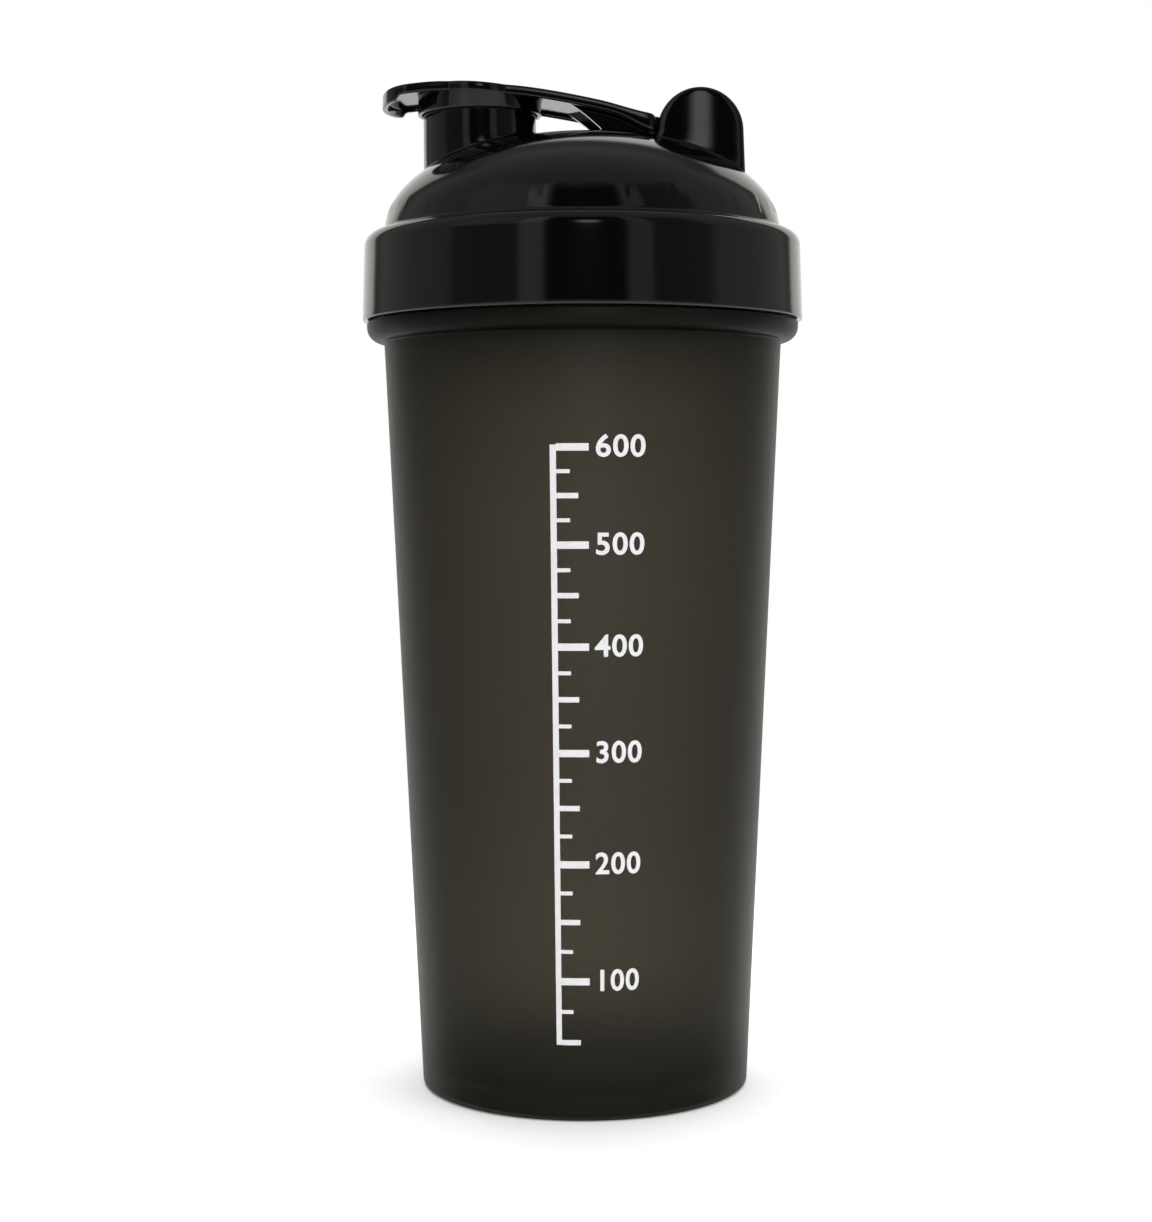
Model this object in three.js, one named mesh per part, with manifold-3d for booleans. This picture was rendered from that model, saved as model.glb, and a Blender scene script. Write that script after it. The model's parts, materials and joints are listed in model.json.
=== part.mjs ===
// Protein shaker bottle: a tapered cup with a screw lid, a drinking spout closed by a flip cap,
// a mixing grid in the mouth of the cup, and the two seals that keep it tight when it is shaken.
// Millimetres, +Z up. The origin is the centre of the foot, on the surface that the bottle stands on.
// The spout is towards -X, and the flip cap's hinge is towards +X with its axis along Y.

import * as THREE from 'three';
import { mergeVertices } from 'three/addons/utils/BufferGeometryUtils.js';
import Module from 'manifold-3d';

const wasm = await Module();
wasm.setup();

// ---------------------------------------------------------------- driving dimensions

const fitGap = 0.3; // between pieces that rest on or sit in each other
const runGap = 0.5; // radial clearance of the screw thread
const flankGap = 0.35; // axial clearance between the two thread ridges
const sweepGap = 0.45; // between the flip cap's arm and the dome that it closes over

const cup = {
  footRadius: 36, // tapered wall carried down to the ground
  footRound: 1.3,
  footRingWidth: 3.6,
  footRecess: 1.4,
  height: 163.4, // ground to the underside of the collar
  shoulderRadius: 43.4, // outside, just under the collar
  wall: 1.8,
  floorThickness: 2.2,
  floorRound: 4,
  collarOverhang: 3.75, // past the shoulder
  collarHeight: 4.3,
  collarRound: 3.2, // its lower edge
  neckHeight: 13.9,
  rimRound: 0.5,
};

const thread = {
  pitch: 6,
  turns: 1,
  depth: 1.6,
  rootHeight: 2.2,
  crestHeight: 1,
  startHeight: 5.3, // above the collar, to the middle of the cup's ridge
  fade: THREE.MathUtils.degToRad(30), // angle over which each end runs out
  embed: 0.6, // how far a ridge is sunk into the wall that carries it
};

const grid = {
  flangeThickness: 1.2,
  wall: 1.2,
  depth: 11.2, // top of the flange to the bottom of the mesh
  wallGap: 0.4,
  meshThickness: 1.6,
  holeSize: 6.2,
  barWidth: 1.7,
  border: 2.2, // solid margin between the holes and the wall
};

const seal = { thickness: 1.6, ceilingOverlap: 0.2 };

const lid = {
  wall: 2.6,
  ceiling: 1.8, // wall between the seal and the ledge
  skirtDraft: 0.5,
  shoulderRound: 3.1,
  ledgeRise: 0.5, // ledge above the plane where the dome is widest
  domeInset: 4.8, // dome's base radius inside the skirt's outside
  domeRise: 22,
  domePower: 2.1, // 2 is an ellipse in section, and more is fuller at the shoulder
  domeWall: 2,
  beadDepth: 0.8, // ring that keeps the seal in its groove
  beadHeight: 0.8,
};

const spout = {
  reach: 22.3, // bottle's axis to the spout's axis
  radius: 12.3,
  wall: 2,
  height: 5.9, // above the dome's crown
  lipRound: 0.6,
};

const ear = {
  reach: 25.4, // bottle's axis to the hinge axis
  radius: 9.25,
  thickness: 3.9,
  draft: 0.3, // extra half width where it meets the dome
  socketDepth: 2.4,
};

const hinge = {
  barrelRadius: 2.4,
  barrelLength: 17.4,
  endGap: 0.4, // between each end of the barrel and its ear
  trunnionRadius: 1.8,
};

const cap = {
  plate: 1.3,
  edgeDepth: 2.1, // plate and its turned-down edge, along the arm
  tipEdgeDepth: 3.2, // the same round the end of the thumb tab
  shoulderEdgeDepth: 3.7, // and at the shoulders in front of the ears
  tipEdgeLength: 4, // tab's end to where its deep edge stops
  deepening: 8, // length over which the arm's edge deepens towards the shoulders
  edgeWidth: 1.2,
  strapInset: 1.4, // tab and arm narrower than the round cover over the spout, on each side
  tipRadius: 24, // plan of the tab's end
  tipCorner: 5.5,
  tabLength: 7.7, // past the ring that closes over the spout
  tabDroop: 1.4,
  crownGap: 4, // cap's highest point above the spout's lip
  crownOffset: 8.7, // spout's axis to the highest point, towards the tab
  skirtWall: 0.9, // ring that closes over the spout
  skirtOverlap: 1.7, // depth to which the ring covers the spout
  spigotDrop: 2.2, // spigot's end below the spout's lip
  webWidth: 1.6,
  webStart: 24.4, // hinge axis to where the webs begin to deepen
  webDepth: 1.3, // their depth there, under the cap's upper face
  webSpan: 10, // length over which they deepen by webDrop
  webDrop: 9,
  shoulderGap: 0.5, // between the arm's shoulders and the round of the ears
  shoulderRound: 1.3,
};

const plug = {
  wall: 1.65,
  clearanceTop: 0.35, // to the spout's bore, at the lip
  clearanceBottom: 0.9, // and at the plug's end, for its swing
  end: 1.2, // thickness of its closed end
  rise: 0.5, // its upper edge above the spout's lip
};

const roundSteps = 48; // sides of a full turn
const smallSteps = 24;

// ---------------------------------------------------------------- places worked out from them

const collarTop = cup.height + cup.collarHeight;
const rimTop = collarTop + cup.neckHeight;
const collarRadius = cup.shoulderRadius + cup.collarOverhang;
const neckRadius = cup.shoulderRadius;
const neckInner = neckRadius - cup.wall;
const threadCrest = neckRadius + thread.depth;
const skirtInner = threadCrest + runGap;
const skirtOuter = skirtInner + lid.wall;
const skirtBottom = collarTop + fitGap;
const flangeTop = rimTop + fitGap + grid.flangeThickness;
const sealBottom = flangeTop + fitGap;
const lidCeiling = sealBottom + seal.thickness + fitGap;
const domeRadius = skirtOuter - lid.domeInset;
const domeBase = lidCeiling + lid.ceiling - lid.ledgeRise;
const crown = domeBase + lid.domeRise;
const spoutTop = crown + spout.height;
const boreRadius = spout.radius - spout.wall;
const ringInner = spout.radius + fitGap;
const ringOuter = ringInner + cap.skirtWall;
const tabEnd = -spout.reach - ringOuter - cap.tabLength;
const spigotRadius = boreRadius - plug.clearanceTop - plug.wall - fitGap;
const capCrown = spoutTop + cap.crownGap;
const earInner = hinge.barrelLength / 2 + hinge.endGap;

// The hinge barrel just clears the dome, so its axis stands off the dome's slope under it.
const hingeShare = ear.reach / domeRadius;
const hingeRise = (1 - hingeShare ** lid.domePower) ** (1 / lid.domePower);
const hingeSlope = (lid.domeRise / domeRadius) * (hingeShare / hingeRise) ** (lid.domePower - 1);
const hingeStandOff = (hinge.barrelRadius + sweepGap) * Math.hypot(1, hingeSlope);
const hingeHeight = domeBase + lid.domeRise * hingeRise + hingeStandOff;

// ---------------------------------------------------------------- helpers

const point = (x, y) => new THREE.Vector2(x, y);

// Points of an elliptical arc in a profile, with angles in degrees.
function arc(x, y, radiusX, radiusY, from, to, steps) {
  return Array.from({ length: steps + 1 }, (_, i) => {
    const angle = THREE.MathUtils.degToRad(from + ((to - from) * i) / steps);
    return point(x + radiusX * Math.cos(angle), y + radiusY * Math.sin(angle));
  });
}

// The dome's section from its widest plane to its crown: a quarter of a superellipse.
function domeSection(radius, rise, steps, start = 0) {
  const power = 2 / lid.domePower;
  return Array.from({ length: steps + 1 }, (_, i) => {
    const angle = start + ((Math.PI / 2 - start) * i) / steps;
    const out = radius * Math.max(0, Math.cos(angle)) ** power;
    return point(i === steps ? 0 : out, domeBase + rise * Math.sin(angle) ** power);
  });
}

// A geometry as a solid that can be joined and cut.
function solid(geometry) {
  const bare = geometry.index ? geometry.toNonIndexed() : geometry.clone();
  bare.deleteAttribute('normal');
  bare.deleteAttribute('uv');
  const merged = mergeVertices(bare, 1e-5);
  const vertProperties = new Float32Array(merged.attributes.position.array);
  const corners = merged.index.array;
  const kept = [];
  for (let i = 0; i < corners.length; i += 3) {
    const [a, b, c] = [corners[i], corners[i + 1], corners[i + 2]];
    if (a !== b && b !== c && c !== a) kept.push(a, b, c);
  }
  const mesh = new wasm.Mesh({ numProp: 3, vertProperties, triVerts: new Uint32Array(kept) });
  return new wasm.Manifold(mesh);
}

// A solid as a geometry that three.js can show.
function geometryOf(shape) {
  const mesh = shape.getMesh();
  const geometry = new THREE.BufferGeometry();
  geometry.setAttribute('position', new THREE.BufferAttribute(mesh.vertProperties, 3));
  geometry.setIndex(new THREE.BufferAttribute(mesh.triVerts, 1));
  geometry.computeVertexNormals();
  return geometry;
}

// A profile of (radius, height) points turned about the Z axis, listed anticlockwise.
function turned(profile, steps = roundSteps) {
  const geometry = new THREE.LatheGeometry(profile, steps);
  geometry.rotateX(Math.PI / 2);
  return solid(geometry);
}

// An outline in plan, raised from one height to another.
function raised(outline, bottom, top) {
  const geometry = new THREE.ExtrudeGeometry(outline, { depth: top - bottom, bevelEnabled: false });
  geometry.translate(0, 0, bottom);
  return solid(geometry);
}

// An outline of (x, z) points, running across Y from one side to the other.
function across(outline, fromY, toY) {
  const settings = { depth: toY - fromY, bevelEnabled: false };
  const geometry = new THREE.ExtrudeGeometry(outline, settings);
  geometry.rotateX(Math.PI / 2);
  geometry.translate(0, toY, 0);
  return solid(geometry);
}

// A rod along Y, centred on y, for pins and the holes they turn in.
function rodAlongY(x, y, z, radius, length, steps = smallSteps) {
  const geometry = new THREE.CylinderGeometry(radius, radius, length, steps);
  geometry.translate(x, y, z);
  return solid(geometry);
}

// A screw ridge: a straight bar of trapezoid section, bent round the axis and lifted by the pitch.
// It stands out from rootRadius by depth, inwards where side is -1, and thins out at both ends.
function ridge(rootRadius, side, middle) {
  const root = thread.rootHeight / 2;
  const crest = thread.crestHeight / 2;
  const section = new THREE.Shape([
    point(-thread.embed, -root),
    point(0, -root),
    point(thread.depth, -crest),
    point(thread.depth, crest),
    point(0, root),
    point(-thread.embed, root),
  ]);
  const steps = Math.round(roundSteps * thread.turns);
  const sweep = 2 * Math.PI * thread.turns;
  const bar = new THREE.ExtrudeGeometry(section, { depth: sweep, steps, bevelEnabled: false });
  const place = bar.attributes.position;
  for (let i = 0; i < place.count; i++) {
    const along = place.getZ(i);
    const end = Math.min(along, sweep - along) / thread.fade;
    const out = place.getX(i) - (thread.depth + thread.embed / 2) * Math.max(0, 1 - end);
    const radius = rootRadius + side * Math.max(-thread.embed, out);
    const height = middle + place.getY(i) + (thread.pitch * along) / (2 * Math.PI);
    place.setXYZ(i, radius * Math.cos(along), radius * Math.sin(along), height);
  }
  if (side < 0) return solid(bar);
  const index = Array.from({ length: place.count }, (_, i) => i);
  for (let i = 0; i < index.length; i += 3) [index[i + 1], index[i + 2]] = [index[i + 2], index[i + 1]];
  bar.setIndex(index);
  return solid(bar);
}

// ---------------------------------------------------------------- cup

function makeCup() {
  const taper = (cup.shoulderRadius - cup.footRadius) / cup.height;
  const outside = (z) => cup.footRadius + taper * z;
  const ringInner = cup.footRadius - cup.footRound - cup.footRingWidth;
  const floorTop = cup.footRecess + cup.floorThickness;
  const floorCorner = floorTop + cup.floorRound;
  const insideCorner = outside(floorCorner) - cup.wall - cup.floorRound;
  const round = cup.collarRound;
  const body = turned([
    point(0, cup.footRecess),
    point(ringInner - cup.footRecess, cup.footRecess),
    point(ringInner, 0),
    ...arc(outside(0) - cup.footRound, cup.footRound, cup.footRound, cup.footRound, -90, 0, 3),
    point(cup.shoulderRadius, cup.height),
    ...arc(collarRadius - round, cup.height + round, round, round, -90, 0, 5),
    point(collarRadius - 0.3, collarTop),
    point(neckRadius, collarTop),
    ...arc(neckRadius - cup.rimRound, rimTop - cup.rimRound, cup.rimRound, cup.rimRound, 0, 90, 2),
    ...arc(neckInner + cup.rimRound, rimTop - cup.rimRound, cup.rimRound, cup.rimRound, 90, 180, 2),
    point(neckInner, cup.height),
    ...arc(insideCorner, floorCorner, cup.floorRound, cup.floorRound, 0, -90, 4),
    point(0, floorTop),
  ]);
  return body.add(ridge(neckRadius, 1, collarTop + thread.startHeight));
}

// ---------------------------------------------------------------- mixing grid

function makeMixingGrid() {
  const outer = neckInner - grid.wallGap;
  const inner = outer - grid.wall;
  const bottom = flangeTop - grid.depth;
  const flangeBottom = flangeTop - grid.flangeThickness;
  const frame = turned([
    point(inner, bottom),
    point(outer, bottom),
    point(outer, flangeBottom),
    point(neckRadius, flangeBottom),
    point(neckRadius, flangeTop),
    point(inner, flangeTop),
    point(inner, bottom),
  ]);
  const middle = bottom + grid.meshThickness / 2;
  const discRadius = inner + grid.wall / 2;
  const disc = new THREE.CylinderGeometry(discRadius, discRadius, grid.meshThickness, roundSteps);
  disc.rotateX(Math.PI / 2);
  disc.translate(0, 0, middle);
  const pitch = grid.holeSize + grid.barWidth;
  const half = grid.holeSize / 2;
  const reach = inner - grid.border;
  const count = Math.ceil(reach / pitch);
  let mesh = solid(disc);
  for (let i = -count; i <= count; i++) {
    for (let j = -count; j <= count; j++) {
      const [x, y] = [i * pitch, j * pitch];
      if (Math.hypot(Math.abs(x) + half, Math.abs(y) + half) > reach) continue;
      const hole = new THREE.BoxGeometry(grid.holeSize, grid.holeSize, 2 * grid.meshThickness);
      hole.translate(x, y, middle);
      mesh = mesh.subtract(solid(hole));
    }
  }
  return frame.add(mesh);
}

// ---------------------------------------------------------------- lid and its seal

function makeLidSeal() {
  const inner = domeRadius - lid.domeWall + seal.ceilingOverlap;
  const outer = skirtInner - fitGap;
  const top = sealBottom + seal.thickness;
  return turned([
    point(inner, sealBottom),
    point(outer, sealBottom),
    point(outer, top),
    point(inner, top),
    point(inner, sealBottom),
  ]);
}

function lidOutside() {
  const ledge = domeBase + lid.ledgeRise;
  const round = lid.shoulderRound;
  const shoulderRadius = skirtOuter - lid.skirtDraft;
  const ledgeAngle = Math.asin((lid.ledgeRise / lid.domeRise) ** (lid.domePower / 2));
  return turned([
    point(0, skirtBottom),
    point(skirtOuter - 0.4, skirtBottom),
    point(skirtOuter, skirtBottom + 0.4),
    ...arc(shoulderRadius - round, ledge - round, round, round, 0, 90, 5),
    ...domeSection(domeRadius, lid.domeRise, 13, ledgeAngle),
  ]);
}

function lidInside() {
  const beadTop = sealBottom - fitGap;
  const beadBottom = beadTop - lid.beadHeight;
  const domeInner = domeRadius - lid.domeWall;
  return turned([
    point(0, skirtBottom - 1),
    point(skirtInner, skirtBottom - 1),
    point(skirtInner, beadBottom - lid.beadDepth),
    point(skirtInner - lid.beadDepth, beadBottom),
    point(skirtInner - lid.beadDepth, beadTop),
    point(skirtInner, beadTop),
    point(skirtInner, lidCeiling),
    point(domeInner, lidCeiling),
    ...domeSection(domeInner, lid.domeRise - lid.domeWall, 8),
  ]);
}

// The spout's wall, and the bore through it and the dome.
function spoutTube() {
  const r = spout.lipRound;
  const tube = turned([
    point(0, domeBase),
    point(spout.radius, domeBase),
    ...arc(spout.radius - r, spoutTop - r, r, r, 0, 90, 3),
    point(0, spoutTop),
  ]);
  return tube.translate(-spout.reach, 0, 0);
}

function spoutBore() {
  const bore = turned([
    point(0, domeBase - 1),
    point(boreRadius, domeBase - 1),
    point(boreRadius, spoutTop - spout.lipRound),
    point(boreRadius + spout.lipRound, spoutTop),
    point(boreRadius + spout.lipRound, spoutTop + 1),
    point(0, spoutTop + 1),
  ]);
  return bore.translate(-spout.reach, 0, 0);
}

// One of the two lugs that carry the flip cap, with the blind socket in its inner face.
function hingeEar(side) {
  const foot = point(ear.radius + ear.draft, domeBase - hingeHeight);
  const outline = new THREE.Shape([
    point(-foot.x, foot.y),
    point(foot.x, foot.y),
    ...arc(0, 0, ear.radius, ear.radius, 0, 180, 14),
  ]);
  const inner = earInner * side;
  const outer = (earInner + ear.thickness) * side;
  const lug = across(outline, Math.min(inner, outer), Math.max(inner, outer));
  const socket = rodAlongY(0, inner, 0, hinge.trunnionRadius + fitGap, 2 * ear.socketDepth);
  return lug.subtract(socket).translate(ear.reach, 0, hingeHeight);
}

function makeLid() {
  const ridgeOffset =
    (thread.rootHeight + thread.crestHeight) / 2 -
    ((thread.rootHeight - thread.crestHeight) / 2 / thread.depth) * runGap +
    flankGap;
  return lidOutside()
    .add(spoutTube())
    .add(hingeEar(1))
    .add(hingeEar(-1))
    .subtract(lidInside())
    .subtract(spoutBore())
    .add(ridge(skirtInner, -1, collarTop + thread.startHeight - ridgeOffset));
}

// ---------------------------------------------------------------- flip cap and its plug

// Height of the cap's upper face, as a curve of (x, z) from the thumb tab to the hinge barrel.
function capTopLine() {
  return new THREE.SplineCurve([
    point(tabEnd, capCrown - cap.tabDroop),
    point(-spout.reach - cap.crownOffset, capCrown),
    point(-spout.reach + ringOuter - 8.2, capCrown - 0.7),
    point(-spout.reach + ringOuter + 1.2, hingeHeight + 8.8),
    point(ear.reach - 21.5, hingeHeight + 6.55),
    point(ear.reach - 10.9, hingeHeight + 3.75),
    point(ear.reach, hingeHeight + hinge.barrelRadius),
  ]);
}

// The band between the cap's upper face lowered by one depth, and the same face lowered by another.
function capBand(upperDepth, lowerDepth) {
  const line = capTopLine().getPoints(30);
  const upper = line.map((p) => point(p.x, p.y - upperDepth));
  const lower = line.map((p) => point(p.x, p.y - lowerDepth(p.x)));
  return across(new THREE.Shape([...lower, ...upper.reverse()]), -ringOuter - 1, ringOuter + 1);
}

// The cap in plan, drawn in from its edge by inset: a round cover over the spout, and a strap
// with a blunt tab at one end and, at the other, shoulders in front of the ears where it narrows
// to the hinge barrel.
function capPlan(inset) {
  const half = ringOuter - cap.strapInset - inset;
  const neck = hinge.barrelLength / 2 - inset;
  const shoulder = ear.reach - ear.radius - cap.shoulderGap - inset;
  const round = cap.shoulderRound;
  const end = ear.reach + inset;
  const tip = cap.tipRadius - inset;
  const tipCentre = tabEnd + cap.tipRadius;
  const corner = cap.tipCorner - inset;
  const cornerY = half - corner;
  const cornerX = tipCentre - Math.sqrt((tip - corner) ** 2 - cornerY ** 2);
  const cornerAngle = THREE.MathUtils.radToDeg(Math.atan2(cornerY, tipCentre - cornerX));
  const strap = new THREE.Shape([
    ...arc(cornerX, cornerY, corner, corner, 90, 180 - cornerAngle, 5),
    ...arc(tipCentre, 0, tip, tip, 180 - cornerAngle, 180 + cornerAngle, 10).slice(1, -1),
    ...arc(cornerX, -cornerY, corner, corner, 180 + cornerAngle, 270, 5),
    ...arc(shoulder - round, -half + round, round, round, -90, 0, 4),
    point(shoulder, -neck),
    point(end, -neck),
    point(end, neck),
    point(shoulder, neck),
    ...arc(shoulder - round, half - round, round, round, 0, 90, 4),
  ]);
  const cover = new THREE.CylinderGeometry(ringOuter - inset, ringOuter - inset, 1, roundSteps);
  cover.rotateX(Math.PI / 2);
  cover.scale(1, 1, capCrown + 1 - domeBase);
  cover.translate(-spout.reach, 0, (capCrown + 1 + domeBase) / 2);
  return raised(strap, domeBase, capCrown + 1).add(solid(cover));
}

// The two webs under the arm, which deepen towards the hinge and stop clear of the dome.
function capWebs() {
  const from = ear.reach - cap.webStart;
  const top = capTopLine().getPoints(30).filter((p) => p.x > from && p.x < ear.reach);
  const lower = top.map((p) => {
    const along = (p.x - from) / cap.webSpan;
    return point(p.x, Math.max(domeBase, p.y - cap.webDepth - cap.webDrop * along ** 2));
  });
  const outline = new THREE.Shape([
    ...lower,
    point(ear.reach, domeBase),
    point(ear.reach, capCrown),
    point(from, capCrown),
  ]);
  const outer = hinge.barrelLength / 2;
  const inner = outer - cap.webWidth;
  return across(outline, inner, outer).add(across(outline, -outer, -inner));
}

// The ring that closes over the spout, and the spigot that carries the plug.
function capFittings() {
  const ringBottom = spoutTop - cap.skirtOverlap;
  const ring = turned([
    point(ringInner, ringBottom),
    point(ringOuter, ringBottom),
    point(ringOuter, capCrown),
    point(ringInner, capCrown),
    point(ringInner, ringBottom),
  ]);
  const spigotEnd = spoutTop - cap.spigotDrop;
  const spigot = turned([
    point(0, spigotEnd),
    point(spigotRadius, spigotEnd),
    point(spigotRadius, capCrown),
    point(0, capCrown),
  ], smallSteps);
  return ring.add(spigot).translate(-spout.reach, 0, 0);
}

function makeFlipCap() {
  const { lerp, smoothstep } = THREE.MathUtils;
  const tip = tabEnd + cap.tipEdgeLength;
  const shoulder = ear.reach - ear.radius - cap.shoulderGap;
  const edgeDepth = (x) =>
    lerp(cap.tipEdgeDepth, cap.edgeDepth, smoothstep(x, tip - 0.5, tip + 0.5)) +
    (cap.shoulderEdgeDepth - cap.edgeDepth) * smoothstep(x, shoulder - cap.deepening, shoulder);
  const farBelow = () => capCrown - domeBase;
  const edge = capBand(0, edgeDepth).intersect(capPlan(0));
  const hollow = capBand(cap.plate, farBelow).intersect(capPlan(cap.edgeWidth));
  const underFace = capBand(cap.plate / 2, farBelow);
  const domeClearance = turned([
    point(0, domeBase),
    ...domeSection(domeRadius + sweepGap, lid.domeRise + sweepGap, 26),
  ]);
  const trunnionSpan = 2 * (earInner + ear.socketDepth - fitGap);
  return edge
    .subtract(hollow)
    .add(capFittings().add(capWebs()).intersect(underFace))
    .subtract(domeClearance)
    .add(rodAlongY(ear.reach, 0, hingeHeight, hinge.barrelRadius, hinge.barrelLength))
    .add(rodAlongY(ear.reach, 0, hingeHeight, hinge.trunnionRadius, trunnionSpan));
}

function makeSpoutPlug() {
  const bottom = spoutTop - cap.spigotDrop - fitGap - plug.end;
  const top = spoutTop + plug.rise;
  const endRadius = boreRadius - plug.clearanceBottom;
  const lipRadius = boreRadius - plug.clearanceTop;
  const hollow = spigotRadius + fitGap;
  const shape = turned([
    point(0, bottom),
    point(endRadius - 0.4, bottom),
    point(endRadius, bottom + 0.4),
    point(lipRadius, spoutTop - 0.5),
    point(lipRadius, top),
    point(hollow, top),
    point(hollow, bottom + plug.end),
    point(0, bottom + plug.end),
  ]);
  return shape.translate(-spout.reach, 0, 0);
}

// ---------------------------------------------------------------- materials and assembly

const material = (color, roughness) => new THREE.MeshStandardMaterial({ color, roughness, metalness: 0 });

const smokePlastic = material(0x42403a, 0.45);
const blackPlastic = material(0x0b0b0b, 0.12);
const darkPlastic = material(0x1c1c1c, 0.4);
const blackSilicone = material(0x161616, 0.7);

function piece(name, shape, look) {
  const mesh = new THREE.Mesh(geometryOf(shape), look);
  mesh.name = name;
  return mesh;
}

const bottle = new THREE.Group();
bottle.add(piece('cup', makeCup(), smokePlastic));
bottle.add(piece('mixing_grid', makeMixingGrid(), darkPlastic));
bottle.add(piece('lid_seal', makeLidSeal(), blackSilicone));
bottle.add(piece('lid', makeLid(), blackPlastic));
bottle.add(piece('flip_cap', makeFlipCap(), blackPlastic));
bottle.add(piece('spout_plug', makeSpoutPlug(), blackSilicone));

export default bottle;
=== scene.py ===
"""Looks of the protein shaker bottle: smooth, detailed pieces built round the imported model.

Sizes here are in millimetres and become metres when a mesh is made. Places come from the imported
frame: the boxes of its nodes, the axis of the flip cap's hinge, and radii measured on its meshes.
"""

import json
import math

import bmesh
import bpy
import numpy as np
from mathutils import Matrix, Vector, geometry


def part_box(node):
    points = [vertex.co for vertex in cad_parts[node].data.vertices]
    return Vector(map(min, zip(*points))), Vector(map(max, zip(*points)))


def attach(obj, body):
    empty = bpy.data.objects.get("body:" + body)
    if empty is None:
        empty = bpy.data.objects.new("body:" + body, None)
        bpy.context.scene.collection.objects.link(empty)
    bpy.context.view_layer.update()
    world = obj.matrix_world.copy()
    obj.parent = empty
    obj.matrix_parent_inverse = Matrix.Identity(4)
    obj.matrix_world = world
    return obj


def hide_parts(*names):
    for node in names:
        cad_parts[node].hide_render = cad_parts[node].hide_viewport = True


MM = 0.001

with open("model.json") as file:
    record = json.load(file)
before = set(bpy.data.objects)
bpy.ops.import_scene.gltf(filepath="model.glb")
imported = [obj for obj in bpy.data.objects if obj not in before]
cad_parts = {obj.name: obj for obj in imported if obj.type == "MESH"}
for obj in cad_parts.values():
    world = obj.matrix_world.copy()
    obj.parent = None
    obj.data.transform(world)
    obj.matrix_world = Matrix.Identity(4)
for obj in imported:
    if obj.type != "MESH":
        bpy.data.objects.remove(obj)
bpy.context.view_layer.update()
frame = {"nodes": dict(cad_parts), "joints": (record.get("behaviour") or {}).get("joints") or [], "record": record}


# ---------------------------------------------------------------- measures taken from the frame


def box_mm(node):
    low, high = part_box(node)
    return low / MM, high / MM


def corners_mm(node):
    mesh = frame["nodes"][node].data
    found = np.zeros(len(mesh.vertices) * 3)
    mesh.vertices.foreach_get("co", found)
    return found.reshape(-1, 3) / MM


def widest_at(node, height):
    """Largest distance from the Z axis of a turned node's corners at a height."""
    corners = corners_mm(node)
    level = corners[abs(corners[:, 2] - height) < 0.05]
    return float(np.hypot(level[:, 0], level[:, 1]).max())


def top_on_axis(node):
    """Greatest height of a node's corners on the Z axis."""
    corners = corners_mm(node)
    return float(corners[np.hypot(corners[:, 0], corners[:, 1]) < 0.01, 2].max())


cup_high = box_mm("cup")[1]
lid_low, lid_high = box_mm("lid")
cap_low, cap_high = box_mm("flip_cap")
grid_high = box_mm("mixing_grid")[1]
seal_low, seal_high = box_mm("lid_seal")
plug_low, plug_high = box_mm("spout_plug")
hinge = next(j for j in frame["joints"] if j["name"] == "cap_flip")
HINGE_X = hinge["pos_m"][0] / MM
HINGE_Z = hinge["pos_m"][2] / MM
screw = next(c for c in frame["record"]["behaviour"]["couplings"] if c["joint"] == "lid_lift")
THREAD_PITCH = screw["ratio"] * 2 * math.pi / MM

FIT_GAP = 0.3
SPOUT_X = (plug_low.x + plug_high.x) / 2
LATHE_STEPS = 192

# Cup
RIM_TOP = cup_high.z
COLLAR_TOP = lid_low.z - FIT_GAP
COLLAR_HEIGHT = 4.3
COLLAR_RADIUS = cup_high.x
COLLAR_ROUND = 3.2
COLLAR_CREASE = 0.5
COLLAR_EDGE = 0.35
NECK_FILLET = 0.4
SHOULDER_Z = COLLAR_TOP - COLLAR_HEIGHT
SHOULDER_RADIUS = grid_high.x
FOOT_ROUND = 1.3
FOOT_RADIUS = widest_at("cup", FOOT_ROUND)
FOOT_RING = 3.6
FOOT_RECESS = 1.4
FOOT_INNER_ROUND = 0.5
RECESS_ROUND = 0.6
CUP_WALL = 1.8
FLOOR = 2.2
FLOOR_ROUND = 4.0
RIM_ROUND = 0.6
CUP_TAPER = (SHOULDER_RADIUS - FOOT_RADIUS) / (SHOULDER_Z - FOOT_ROUND)

# Screw thread, on the cup's neck and inside the lid's skirt
THREAD_DEPTH = 1.6
THREAD_ROOT = 2.2
THREAD_CREST = 1.0
THREAD_START = 5.3
THREAD_FADE = math.radians(30)
THREAD_OFFSET = 1.76
THREAD_ROW = 0.3

# Lid
SKIRT_OUTER = lid_high.x
SKIRT_INNER = SKIRT_OUTER - 2.6
SKIRT_DRAFT = 0.5
SKIRT_ROUND = 0.35
DOME_RADIUS = SKIRT_OUTER - 4.8
DOME_RISE = 22.0
DOME_POWER = 2.1
DOME_WALL = 2.0
DOME_INNER = DOME_RADIUS - DOME_WALL
CROWN = top_on_axis("lid")
DOME_BASE = CROWN - DOME_RISE
LEDGE_RISE = 0.5
LEDGE_Z = DOME_BASE + LEDGE_RISE
SHOULDER_ROUND = 3.1
CREASE_ROUND = 1.1
SEAL_TOP = seal_high.z
SEAL_BOTTOM = seal_low.z
BEAD = 0.8
BEAD_ROUND = 0.2
DOME_SPACING = 1.15
INNER_SPACING = 2.4

# Spout
SPOUT_RADIUS = 12.3
SPOUT_TOP = CROWN + 5.9
SPOUT_BORE = SPOUT_RADIUS - 2.0
SPOUT_LIP = 0.6
SPOUT_FILLET = 0.9

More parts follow.
